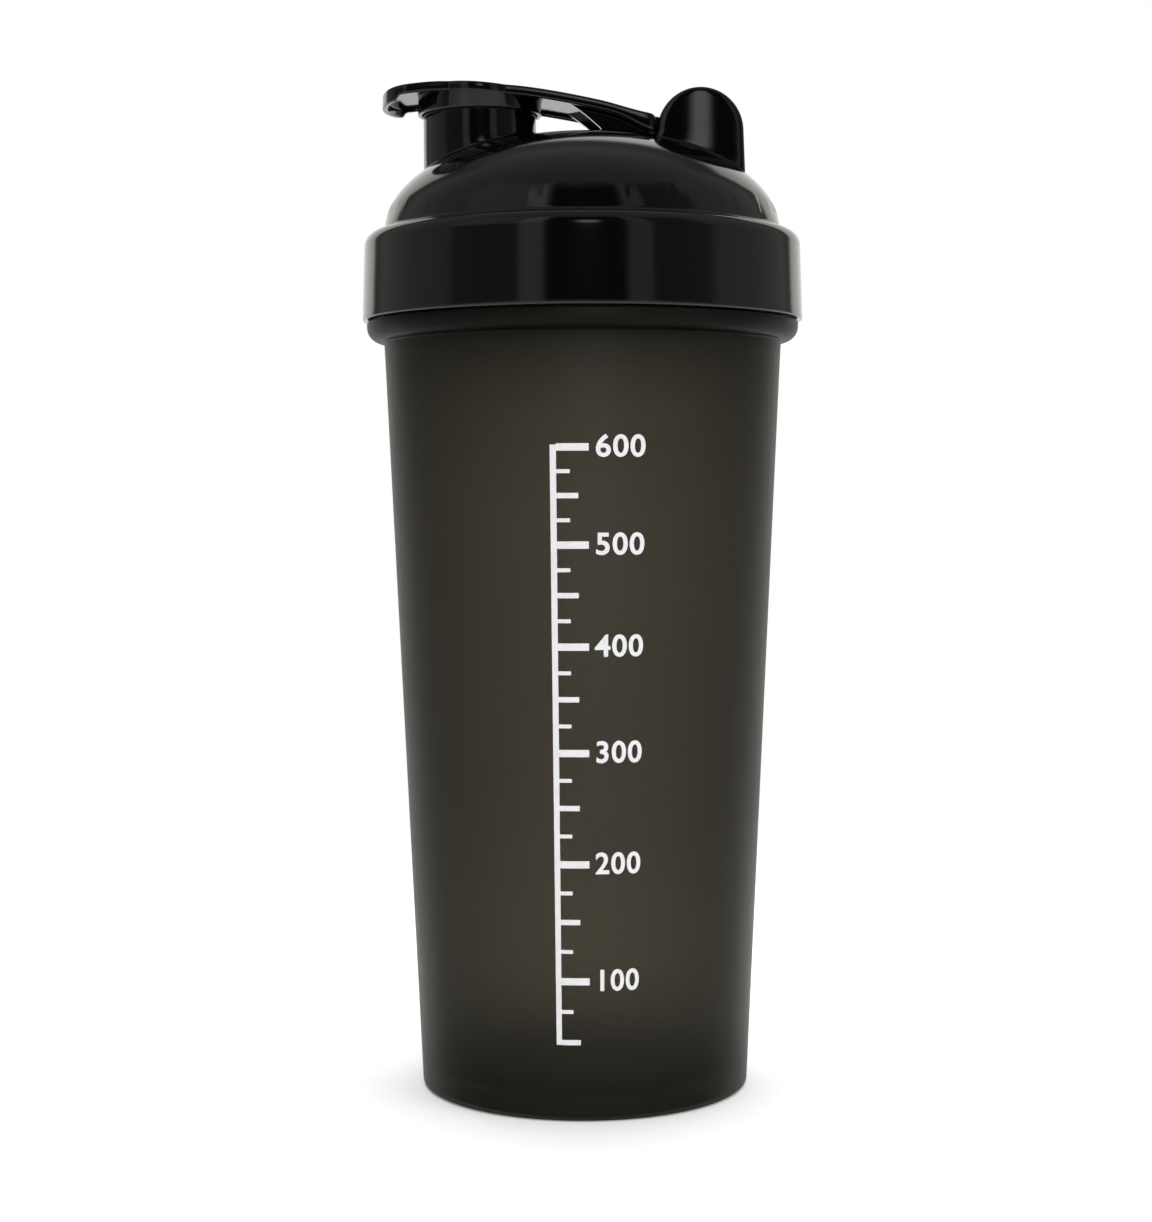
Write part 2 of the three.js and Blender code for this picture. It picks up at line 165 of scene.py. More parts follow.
# Hinge ears
EAR_RADIUS = lid_high.z - HINGE_Z
EAR_INNER = 9.1
EAR_THICKNESS = 3.9
EAR_EDGE = 0.9
EAR_CROWN = 0.9
EAR_LEAN = 0.05
EAR_DRAFT = 0.3
EAR_FILLET = 0.7
SOCKET_DEPTH = 2.4
EAR_STEPS = 48
EAR_ROUND_SHARE = 0.9
EAR_FLATNESS = 6

# Flip cap
CAP_TOP = cap_high.z - 0.02  # the top line's curve rises up to this much over its knots
TAB_DROOP = 1.4
CROWN_OFFSET = 8.7
TAB_END = cap_low.x
CAP_HALF = cap_high.y
CAP_PLATE = 1.3
CAP_EDGE_WIDTH = 1.2
CAP_EDGE_DEPTH = 2.1
TIP_EDGE_DEPTH = 3.2
SHOULDER_EDGE_DEPTH = 3.7
TIP_EDGE_LENGTH = 4.0
DEEPENING = 8.0
STRAP_HALF = CAP_HALF - 1.4
TIP_RADIUS = 24.0
TIP_CORNER = 5.5
CAP_ROUND = 0.6
CAP_RIM_ROUND = 0.35
CAP_SPACING = 1.3
UNDERSIDE_SPACING = 1.6
COVER_JOINT = 1.6
NECK_HOLLOW = 1.0
SHOULDER_X = HINGE_X - EAR_RADIUS - 0.5
SHOULDER_CORNER = 1.3
WEB_START = HINGE_X - 29.0
WEB_DEPTH = 1.3
WEB_SPAN = 13.9
WEB_DROP = 9.0
WEB_CURVE = 1.3
SWEEP_GAP = 0.45
BARREL_RADIUS = cap_high.x - HINGE_X
BARREL_HALF = EAR_INNER - 0.4
ROD_ROUND = 0.3
TRUNNION_RADIUS = 1.8
RING_OUTER = CAP_HALF - 0.02
RING_INNER = CAP_HALF - 0.9
RING_ROUND = 0.25
RING_BOTTOM = SPOUT_TOP - 1.7
SPIGOT_RADIUS = 8.0
SPIGOT_END = SPOUT_TOP - 2.2
SPIGOT_ROUND = 0.3
WEB_WIDTH = 1.6

# Printed measuring scale, with widths measured round the cup from its middle line at the front
SCALE_FIRST = 50
SCALE_LAST = 600
SCALE_STEP = 25
SCALE_LEFT = -6.3
SPINE_WIDTH = 1.2
SPINE_OVERSHOOT = 0.5
SPINE_ROW = 4
TICKS = [(100, 7.4, 1.5), (50, 5.4, 1.1), (25, 3.8, 0.8)]  # volume step, length and thickness
NUMERAL_LEFT = 2.3
NUMERAL_SIZE = 6.2
NUMERAL_WEIGHT = 0.13
NUMERAL_SPACING = 1.08
PRINT_COLUMN = 0.6
INK_RAISED = 0.06
INK_SUNK = 0.05


# ---------------------------------------------------------------- mesh helpers


class Patchwork:
    """Patches of one closed surface, whose shared edges are merged when the mesh is made."""

    def __init__(self):
        self.points = []
        self.faces = []

    def add_points(self, points):
        first = len(self.points)
        self.points.extend(tuple(map(float, p)) for p in points)
        return range(first, len(self.points))

    def grid(self, rows, closed=True):
        """Quads between rows of points; a row of one point is a pole."""
        ids = [self.add_points(row) for row in rows]
        for low, high in zip(ids, ids[1:]):
            count = max(len(low), len(high))
            for i in range(count if closed else count - 1):
                j = (i + 1) % count
                if len(low) == 1:
                    self.faces.append((low[0], high[j], high[i]))
                elif len(high) == 1:
                    self.faces.append((low[i], low[j], high[0]))
                else:
                    self.faces.append((low[i], low[j], high[j], high[i]))

    def bar(self, sections):
        """A bar through a row of sections, closed at both ends."""
        self.grid(sections)
        for end in (sections[0], sections[-1]):
            self.faces.append(tuple(self.add_points(end)))

    def sheet(self, flat, triangles, height):
        """Triangles in plan, raised to height(x, y)."""
        ids = self.add_points((x, y, height(x, y)) for x, y in flat)
        self.faces.extend(tuple(ids[i] for i in t) for t in triangles)

    def build(self, name, weld=0.004):
        work = bmesh.new()
        made = [work.verts.new(p) for p in self.points]
        for face in self.faces:
            corners = [made[i] for i in dict.fromkeys(face)]
            if len(corners) > 2 and not work.faces.get(corners):
                work.faces.new(corners)
        bmesh.ops.remove_doubles(work, verts=work.verts, dist=weld)
        bmesh.ops.dissolve_degenerate(work, edges=work.edges, dist=1e-4)
        bmesh.ops.recalc_face_normals(work, faces=work.faces)
        bmesh.ops.scale(work, vec=(MM, MM, MM), verts=work.verts)
        mesh = bpy.data.meshes.new(name)
        work.to_mesh(mesh)
        work.free()
        obj = bpy.data.objects.new(name, mesh)
        bpy.context.scene.collection.objects.link(obj)
        return obj


def smooth(obj, sharp_degrees=34):
    for polygon in obj.data.polygons:
        polygon.use_smooth = True
    obj.data.set_sharp_from_angle(angle=math.radians(sharp_degrees))
    return obj


def arc(x, z, radius, start, end, steps):
    """Points of an arc in a profile or a plan, with angles in degrees."""
    turn = [math.radians(start + (end - start) * i / steps) for i in range(steps + 1)]
    return [(x + radius * math.cos(a), z + radius * math.sin(a)) for a in turn]


def circle(radius, height, steps, x=0.0):
    turn = [2 * math.pi * i / steps for i in range(steps)]
    return [(x + radius * math.cos(a), radius * math.sin(a), height) for a in turn]


def turned_rows(profile, steps, x=0.0):
    """Rows of a lathe: circles for the points of a profile, and poles where it meets the axis."""
    return [
        [(x, 0.0, z)] if radius < 1e-6 else circle(radius, z, steps, x)
        for radius, z in profile
    ]


def straight(start, end, steps):
    """Points between two profile points, with neither end."""
    (r0, z0), (r1, z1) = start, end
    return [(r0 + (r1 - r0) * i / steps, z0 + (z1 - z0) * i / steps) for i in range(1, steps)]


def smoothstep(x, low, high):
    t = min(1.0, max(0.0, (x - low) / (high - low)))
    return t * t * (3 - 2 * t)


def thread_rows(wall, side, start, bottom, top):
    """Circles from bottom to top of a wall that carries one turn of screw ridge.

    The ridge starts at a height, and stands outward where side is 1 and inward where it is -1.
    """
    count = round((top - bottom) / THREAD_ROW)
    rows = []
    for k in range(1, count):
        z = bottom + (top - bottom) * k / count
        row = []
        for i in range(LATHE_STEPS):
            a = 2 * math.pi * i / LATHE_STEPS
            ridge = 0.0
            for along in (a, a + 2 * math.pi):
                end = min(along, 2 * math.pi - along) / THREAD_FADE
                off = abs(z - start - THREAD_PITCH * along / (2 * math.pi))
                height = 1 - smoothstep(off, THREAD_CREST / 2, THREAD_ROOT / 2)
                ridge = max(ridge, height * smoothstep(end, 0, 1))
            radius = wall + side * THREAD_DEPTH * ridge
            row.append((radius * math.cos(a), radius * math.sin(a), z))
        rows.append(row)
    return rows


def combine(base, tool, operation):
    """Joins a closed object to a base that it overlaps, or cuts it away, and removes it."""
    modifier = base.modifiers.new("combine", "BOOLEAN")
    modifier.operation = operation
    modifier.solver = "EXACT"
    modifier.object = tool
    settle(base)
    bpy.data.objects.remove(tool)


def settle(obj):
    """Applies an object's modifiers to its mesh."""
    evaluated = obj.evaluated_get(bpy.context.evaluated_depsgraph_get())
    mesh = bpy.data.meshes.new_from_object(evaluated)
    obj.modifiers.clear()
    old = obj.data
    obj.data = mesh
    bpy.data.meshes.remove(old)


def rod_along_y(name, radius, half, edge, steps=64):
    """A rod on the hinge axis with rounded ends."""
    profile = [(0.0, -half), *arc(radius - edge, -half + edge, edge, -90, 0, 4)]
    profile += [(r, -z) for r, z in reversed(profile)]
    rows = []
    for radius_here, along in profile:
        if radius_here < 1e-6:
            rows.append([(HINGE_X, along, HINGE_Z)])
        else:
            turn = [2 * math.pi * i / steps for i in range(steps)]
            rows.append([
                (HINGE_X + radius_here * math.cos(a), along, HINGE_Z + radius_here * math.sin(a))
                for a in turn
            ])
    work = Patchwork()
    work.grid(rows)
    return work.build(name)


def inside(points, loop):
    """Whether each point is inside a closed loop, both in plan."""
    x, y = points[:, 0], points[:, 1]
    found = np.zeros(len(points), bool)
    for (x0, y0), (x1, y1) in zip(loop, np.roll(loop, -1, axis=0)):
        crosses = (y0 > y) != (y1 > y)
        rise = y1 - y0 if y1 != y0 else 1e-12
        found ^= crosses & (x < x0 + (x1 - x0) * (y - y0) / rise)
    return found


def fill_plan(outer, holes, spacing):
    """Triangles in plan between an outer loop and its holes, with evenly spaced points inside."""
    loops = [np.array(outer)] + [np.array(h) for h in holes]
    low, high = loops[0].min(0), loops[0].max(0)
    row_step = spacing * math.sqrt(3) / 2
    seeds = []
    for j, y in enumerate(np.arange(low[1] + row_step / 2, high[1], row_step)):
        shift = spacing / 2 if j % 2 else 0.0
        seeds += [(x, y) for x in np.arange(low[0] + shift, high[0], spacing)]
    seeds = np.array(seeds)
    keep = inside(seeds, loops[0])
    for hole in loops[1:]:
        keep &= ~inside(seeds, hole)
    edge_points = np.vstack(loops)
    for start in range(0, len(edge_points), 64):
        gap = np.hypot(*(seeds[:, None] - edge_points[None, start:start + 64]).transpose(2, 0, 1))
        keep &= gap.min(1) > 0.62 * spacing
    points = [Vector(p) for p in edge_points] + [Vector(p) for p in seeds[keep]]
    edges = []
    first = 0
    for loop in loops:
        count = len(loop)
        edges += [(first + i, first + (i + 1) % count) for i in range(count)]
        first += count
    found = geometry.delaunay_2d_cdt(points, edges, [], 0, 1e-5)
    flat = np.array([tuple(p) for p in found[0]])
    triangles = [tuple(f) for f in found[2]]
    middles = np.array([flat[list(t)].mean(0) for t in triangles])
    keep = inside(middles, loops[0])
    for hole in loops[1:]:
        keep &= ~inside(middles, hole)
    return flat, [t for t, k in zip(triangles, keep) if k]


# ---------------------------------------------------------------- dome of the lid


def dome_height(x, y, radius=DOME_RADIUS, rise=DOME_RISE):
    share = min(1.0, math.hypot(x, y) / radius)
    return DOME_BASE + rise * (1 - share**DOME_POWER) ** (1 / DOME_POWER)


def inner_dome_height(x, y):
    return dome_height(x, y, DOME_INNER, DOME_RISE - DOME_WALL)


def dome_normal(distance):
    """The dome's outward normal at a distance from the axis, as (radial, upward)."""
    share = distance / DOME_RADIUS
    height = (1 - share**DOME_POWER) ** (1 / DOME_POWER)
    radial = share ** (DOME_POWER - 1) / DOME_RADIUS
    upward = height ** (DOME_POWER - 1) / DOME_RISE
    length = math.hypot(radial, upward)
    return radial / length, upward / length


def dome_reach(rise):
    """Distance from the axis at which the dome stands at a height over its widest plane."""
    return DOME_RADIUS * (1 - (rise / DOME_RISE) ** DOME_POWER) ** (1 / DOME_POWER)


def fillet_rows(wall, normals, radius, steps=6):
    """Rows of a rolling-ball fillet between the dome and an upright wall.

    wall is the wall's loop in plan, and normals point away from it. The first row is where the
    fillet leaves the dome, and the last is where it meets the wall.
    """
    rows = [[] for _ in range(steps + 1)]
    for (x, y), (nx, ny) in zip(wall, normals):
        px, py = x + nx * radius, y + ny * radius
        target = math.hypot(px, py)
        low, high = 0.0, DOME_RADIUS * 0.999
        for _ in range(40):
            middle = (low + high) / 2
            if middle + radius * dome_normal(middle)[0] < target:
                low = middle
            else:
                high = middle
        radial, upward = dome_normal(low)
        centre = Vector((px, py, dome_height(low, 0) + radius * upward))
        down = -Vector((radial * px / target, radial * py / target, upward))
        across = -Vector((nx, ny, 0))
        swing = down.angle(across)
        for k, row in enumerate(rows):
            t = k / steps
            mix = (math.sin((1 - t) * swing) * down + math.sin(t * swing) * across) / math.sin(swing)
            row.append(tuple(centre + radius * mix))
    return rows


# ---------------------------------------------------------------- pieces


def make_cup():
    ring_inner = FOOT_RADIUS - FOOT_ROUND - FOOT_RING
    floor_top = FOOT_RECESS + FLOOR
    floor_corner = floor_top + FLOOR_ROUND
    corner_radius = FOOT_RADIUS + CUP_TAPER * (floor_corner - FOOT_ROUND) - CUP_WALL - FLOOR_ROUND
    foot = (FOOT_RADIUS, FOOT_ROUND)
    shoulder = (SHOULDER_RADIUS, SHOULDER_Z)
    recess_corner = ring_inner - FOOT_RECESS - RECESS_ROUND
    collar = [
        *arc(SHOULDER_RADIUS + COLLAR_CREASE, SHOULDER_Z - COLLAR_CREASE, COLLAR_CREASE, 180, 90, 5),
        *arc(COLLAR_RADIUS - COLLAR_ROUND, SHOULDER_Z + COLLAR_ROUND, COLLAR_ROUND, -90, 0, 12),
    ]
    below = [
        (0.0, FOOT_RECESS),
        *straight((0, FOOT_RECESS), (ring_inner - FOOT_RECESS, FOOT_RECESS), 6),
        *arc(recess_corner, FOOT_RECESS - RECESS_ROUND, RECESS_ROUND, 90, 45, 3),
        *arc(ring_inner + FOOT_INNER_ROUND, FOOT_INNER_ROUND, FOOT_INNER_ROUND, 225, 270, 3),
        *arc(FOOT_RADIUS - FOOT_ROUND, FOOT_ROUND, FOOT_ROUND, -90, 0, 8),
        *straight(foot, shoulder, 60)[:-1],
        *collar,
        *arc(COLLAR_RADIUS - COLLAR_EDGE, COLLAR_TOP - COLLAR_EDGE, COLLAR_EDGE, 0, 90, 4),
        *straight((COLLAR_RADIUS - COLLAR_EDGE, COLLAR_TOP), (SHOULDER_RADIUS + NECK_FILLET, COLLAR_TOP), 4),
        *arc(SHOULDER_RADIUS + NECK_FILLET, COLLAR_TOP + NECK_FILLET, NECK_FILLET, 270, 180, 4),
    ]
    inner = SHOULDER_RADIUS - CUP_WALL
    above = [
        *arc(SHOULDER_RADIUS - RIM_ROUND, RIM_TOP - RIM_ROUND, RIM_ROUND, 0, 90, 6),
        *arc(inner + RIM_ROUND, RIM_TOP - RIM_ROUND, RIM_ROUND, 90, 180, 6),
        *straight((inner, RIM_TOP - RIM_ROUND), (inner, SHOULDER_Z), 8),
        (inner, SHOULDER_Z),
        *straight((inner, SHOULDER_Z), (corner_radius + FLOOR_ROUND, floor_corner), 40),
        *arc(corner_radius, floor_corner, FLOOR_ROUND, 0, -90, 10),
        *straight((corner_radius, floor_top), (0, floor_top), 8),
        (0.0, floor_top),
    ]
    thread_start = COLLAR_TOP + THREAD_START
    neck_bottom = COLLAR_TOP + NECK_FILLET
    neck = thread_rows(SHOULDER_RADIUS, 1, thread_start, neck_bottom, RIM_TOP - RIM_ROUND)
    work = Patchwork()
    work.grid(turned_rows(below, LATHE_STEPS) + neck + turned_rows(above, LATHE_STEPS))
    return smooth(work.build("cup_body_shell"))


def ear_patch(work, side):
    """Adds one hinge ear to the lid's surface, and returns the loop where it leaves the dome."""
    steps = 6
    profile = [(0.0, 0.0)]
    profile += [((EAR_RADIUS - EAR_EDGE) * i / 8, 0.0) for i in range(1, 8)]
    profile += [
        (EAR_RADIUS - EAR_EDGE + EAR_EDGE * math.sin(a), EAR_EDGE - EAR_EDGE * math.cos(a))
        for a in (math.pi / 2 * i / steps for i in range(steps + 1))
    ]
    flat = EAR_THICKNESS - 2 * EAR_EDGE
    profile += [
        (EAR_RADIUS - EAR_EDGE + EAR_EDGE * math.cos(a), EAR_EDGE + flat + EAR_EDGE * math.sin(a))
        for a in (math.pi / 2 * i / steps * EAR_ROUND_SHARE for i in range(steps + 1))
    ]
    edge_radius, edge_depth = profile[-1]
    rise = EAR_THICKNESS - edge_depth
    for i in range(1, 11):
        share = 1 - i / 10
        profile.append((edge_radius * share, edge_depth + rise * (1 - share**EAR_FLATNESS)))

    def ear_point(distance, depth, turn):
        """A point of the ear, whose outer face is rounded about an upright line and leans in."""
        x = distance * math.cos(turn)
        z = distance * math.sin(turn)
        outer = smoothstep(depth, EAR_EDGE, EAR_THICKNESS / 2)
        pull = outer * (EAR_CROWN * (x / EAR_RADIUS) ** 2 + EAR_LEAN * (z + EAR_RADIUS))
        return HINGE_X + x, side * (EAR_INNER + depth - pull), HINGE_Z + z

    reach = [distance for distance, _ in profile]
    across = [ear_point(distance, depth, 0)[1] for distance, depth in profile]
    top_rows = [
        [ear_point(distance, depth, math.pi * k / EAR_STEPS) for distance, depth in profile]
        for k in range(EAR_STEPS + 1)
    ]
    work.grid(top_rows, closed=False)
    right = list(zip(reach, across))
    left = [(-distance, place) for distance, place in reversed(right[1:-1])]
    loop = np.array(right + left)
    widening = 1 + EAR_DRAFT / EAR_RADIUS
    base = loop * (widening, 1)
    outer = [smoothstep(depth, EAR_EDGE, EAR_THICKNESS / 2) for _, depth in profile]
    outer += outer[-2:0:-1]
    drop = np.array([HINGE_Z - dome_height(HINGE_X + x, y) for x, y in loop])
    base[:, 1] += side * EAR_LEAN * drop * outer
    ahead, behind = np.roll(base, -1, axis=0), np.roll(base, 1, axis=0)
    tangent = ahead - behind
    normals = np.stack([tangent[:, 1], -tangent[:, 0]], 1)
    normals /= np.linalg.norm(normals, axis=1)[:, None]
    middle = np.array([0.0, side * (EAR_INNER + EAR_THICKNESS / 2)])
    if ((base - middle) * normals).sum() < 0:
        normals = -normals
    base[:, 0] += HINGE_X
    rows = fillet_rows(base, normals, EAR_FILLET)
    foot = rows[-1]
    for share in (0.25, 0.5, 0.75, 1.0):
        row = []
        for (x, y, z), (along, across_here) in zip(foot, loop):
            target = (HINGE_X + along, across_here, HINGE_Z)
            row.append(tuple(a + (b - a) * share for a, b in zip((x, y, z), target)))
        rows.append(row)
    work.grid(rows)
    return [(x, y) for x, y, _ in rows[0]]


def spout_patch(work):
    """Adds the spout and its bore, and returns the loops where they leave the dome's two faces."""
    steps = 144
    turn = [2 * math.pi * i / steps for i in range(steps)]
    normals = [(math.cos(a), math.sin(a)) for a in turn]
    wall = [(SPOUT_X + SPOUT_RADIUS * nx, SPOUT_RADIUS * ny) for nx, ny in normals]
    rows = fillet_rows(wall, normals, SPOUT_FILLET, 8)
    lip = SPOUT_LIP
    foot = rows[-1]
    for share in (0.25, 0.5, 0.75):
        rows.append([(x, y, z + (SPOUT_TOP - lip - z) * share) for x, y, z in foot])
    profile = [
        *arc(SPOUT_RADIUS - lip, SPOUT_TOP - lip, lip, 0, 90, 6),
        *arc(SPOUT_BORE + lip, SPOUT_TOP - lip, lip, 90, 180, 6),
    ]
    rows += turned_rows(profile, steps, SPOUT_X)
    bore_top = SPOUT_TOP - lip
    bore = [(SPOUT_X + SPOUT_BORE * nx, SPOUT_BORE * ny) for nx, ny in normals]
    ends = [inner_dome_height(x, y) for x, y in bore]
    for share in (0.25, 0.5, 0.75, 1.0):
        rows.append([
            (x, y, bore_top + (end - bore_top) * share) for (x, y), end in zip(bore, ends)
        ])
    work.grid(rows)
    return [(x, y) for x, y, _ in rows[0]], bore


def make_lid():
    work = Patchwork()
    ears = [ear_patch(work, side) for side in (1, -1)]
    spout_loop, bore_loop = spout_patch(work)
    crease = dome_reach(LEDGE_RISE + CREASE_ROUND)
    crease_z = LEDGE_Z + CREASE_ROUND
    outer_loop = [(x, y) for x, y, _ in circle(crease, 0, LATHE_STEPS)]
    flat, triangles = fill_plan(outer_loop, [spout_loop, *ears], DOME_SPACING)
    work.sheet(flat, triangles, dome_height)
    inner_end = DOME_INNER * 0.995  # just short of where the dome's inner face stands upright
    inner_loop = [(x, y) for x, y, _ in circle(inner_end, 0, LATHE_STEPS)]
    flat, triangles = fill_plan(inner_loop, [bore_loop], INNER_SPACING)
    work.sheet(flat, triangles, inner_dome_height)
    ceiling = SEAL_TOP + FIT_GAP
    bead_top = SEAL_BOTTOM - FIT_GAP
    bead_bottom = bead_top - BEAD
    inside_rows = [
        (inner_end, inner_dome_height(inner_end, 0)),
        (DOME_INNER, DOME_BASE),
        (DOME_INNER, ceiling),
        *straight((DOME_INNER, ceiling), (SKIRT_INNER, ceiling), 3),
        (SKIRT_INNER, ceiling),
        (SKIRT_INNER, bead_top),
        *arc(SKIRT_INNER - BEAD + BEAD_ROUND, bead_top - BEAD_ROUND, BEAD_ROUND, 90, 180, 3),
        (SKIRT_INNER - BEAD, bead_bottom),
        (SKIRT_INNER, bead_bottom - BEAD),
    ]
    skirt_end = lid_low.z + SKIRT_ROUND
    thread_start = COLLAR_TOP + THREAD_START - THREAD_OFFSET
    thread = thread_rows(SKIRT_INNER, -1, thread_start, skirt_end, bead_bottom - BEAD)
    shoulder = SKIRT_OUTER - SKIRT_DRAFT
    outside_rows = [
        *arc(SKIRT_INNER + SKIRT_ROUND, skirt_end, SKIRT_ROUND, 180, 270, 4),
        *arc(SKIRT_OUTER - SKIRT_ROUND, skirt_end, SKIRT_ROUND, 270, 360, 5),
        *straight((SKIRT_OUTER, skirt_end), (shoulder, LEDGE_Z - SHOULDER_ROUND), 12),
        *arc(shoulder - SHOULDER_ROUND, LEDGE_Z - SHOULDER_ROUND, SHOULDER_ROUND, 0, 90, 14),
        (crease + CREASE_ROUND, LEDGE_Z),
        *arc(crease + CREASE_ROUND, LEDGE_Z + CREASE_ROUND, CREASE_ROUND, 270, 195, 4),
        (crease, crease_z),
    ]
    inside_circles = turned_rows(inside_rows, LATHE_STEPS)
    work.grid(inside_circles + thread[::-1] + turned_rows(outside_rows, LATHE_STEPS))
    lid = work.build("lid_shell")
    socket = rod_along_y("socket", TRUNNION_RADIUS + FIT_GAP, EAR_INNER + SOCKET_DEPTH, 0.2)
    combine(lid, socket, "DIFFERENCE")
    return smooth(lid)


def cap_top_line():
    """The cap's upper face in profile, as a function of x."""
    knots = [
        (TAB_END, CAP_TOP - TAB_DROOP),
        (SPOUT_X - CROWN_OFFSET, CAP_TOP),
        (SPOUT_X + CAP_HALF - 8.2, CAP_TOP - 0.7),
        (SPOUT_X + CAP_HALF + 1.2, HINGE_Z + 8.8),
        (HINGE_X - 21.5, HINGE_Z + 6.55),
        (HINGE_X - 10.9, HINGE_Z + 3.75),
        (HINGE_X, HINGE_Z + BARREL_RADIUS),
    ]
    knots = np.array(knots)
    xs, zs = [], []
    for i in range(len(knots) - 1):
        p0, p1 = knots[max(i - 1, 0)], knots[i]
        p2, p3 = knots[i + 1], knots[min(i + 2, len(knots) - 1)]
        for t in np.linspace(0, 1, 24, endpoint=False):
            v0, v1 = (p2 - p0) / 2, (p3 - p1) / 2
            a = 2 * p1 - 2 * p2 + v0 + v1
            b = -3 * p1 + 3 * p2 - 2 * v0 - v1
            x, z = a * t**3 + b * t**2 + v0 * t + p1
            xs.append(x)
            zs.append(z)
    xs.append(knots[-1][0])
    zs.append(knots[-1][1])
    return lambda x: float(np.interp(x, xs, zs))


def cap_outline(inset):
    """The cap in plan, drawn in from its edge by inset.

    A round cover over the spout stands proud of a strap, which has a blunt tab at one end and,
    at the other, shoulders in front of the ears, where it narrows to the hinge barrel.
    """
    half = STRAP_HALF - inset
    neck = BARREL_HALF - inset
    tip = TIP_RADIUS - inset
    tip_centre = TAB_END + TIP_RADIUS
    corner = TIP_CORNER - inset
    corner_y = half - corner
    corner_x = tip_centre - math.sqrt((tip - corner) ** 2 - corner_y**2)
    swing = math.degrees(math.atan2(corner_y, tip_centre - corner_x))
    cover = CAP_HALF - inset
    joint = COVER_JOINT + inset
    joint_x = math.sqrt((cover + joint) ** 2 - (half + joint) ** 2)
    lean = math.degrees(math.atan2(half + joint, joint_x))
    shoulder = SHOULDER_X - inset
    bend = SHOULDER_CORNER - inset * 0.5
    hollow = NECK_HOLLOW + inset
    end = HINGE_X - 0.3 * inset

    lower = arc(corner_x, -corner_y, corner, 180 + swing, 270, 10)
    lower += straight((corner_x, -half), (SPOUT_X - joint_x, -half), 4)
    lower += arc(SPOUT_X - joint_x, -half - joint, joint, 90, lean, 5)
    lower += arc(SPOUT_X, 0, cover, 180 + lean, 360 - lean, 24)[1:-1]
    lower += arc(SPOUT_X + joint_x, -half - joint, joint, 180 - lean, 90, 5)
    lower += straight((SPOUT_X + joint_x, -half), (shoulder - bend, -half), 22)
    lower += arc(shoulder - bend, -half + bend, bend, -90, 0, 6)
    lower += arc(shoulder + hollow, -neck - hollow, hollow, 180, 90, 6)
    lower += straight((shoulder + hollow, -neck), (end, -neck), 8)
    lower += [(end, -neck), (end, -neck / 2)]
    upper = [(x, -y) for x, y in reversed(lower)]
    tip_arc = arc(tip_centre, 0, tip, 180 - swing, 180 + swing, 24)[1:-1]
    return tip_arc + lower + [(end, 0.0)] + upper


def cap_edge_depth(x):
    """Depth of the cap's edge: deep round the tab's end, and again at the shoulders."""
    tip = TAB_END + TIP_EDGE_LENGTH
    depth = TIP_EDGE_DEPTH + (CAP_EDGE_DEPTH - TIP_EDGE_DEPTH) * smoothstep(x, tip - 0.5, tip + 0.5)
    deeper = smoothstep(x, SHOULDER_X - DEEPENING, SHOULDER_X)
    return depth + (SHOULDER_EDGE_DEPTH - CAP_EDGE_DEPTH) * deeper


def quarter_turn(steps):
    return [math.pi / 2 * i / steps for i in range(steps + 1)]


def cap_levels():
    """The cap's loops from its upper face to its underside, round the edge.

    Each has an inset from the outline, a rise, and the depth that the rise is measured from, as a
    function of x.
    """
    top, low = CAP_ROUND, CAP_RIM_ROUND
    levels = [(top - top * math.sin(a), top * math.cos(a) - top, lambda x: 0.0) for a in quarter_turn(5)]
    levels += [(low - low * math.cos(a), low - low * math.sin(a), cap_edge_depth) for a in quarter_turn(4)]
    for a in quarter_turn(4):
        inset = CAP_EDGE_WIDTH - low + low * math.sin(a)
        levels.append((inset, low - low * math.cos(a), cap_edge_depth))
    for a in quarter_turn(4):
        inset = CAP_EDGE_WIDTH + low - low * math.cos(a)
        levels.append((inset, low * math.sin(a) - low, lambda x: CAP_PLATE))
    return levels


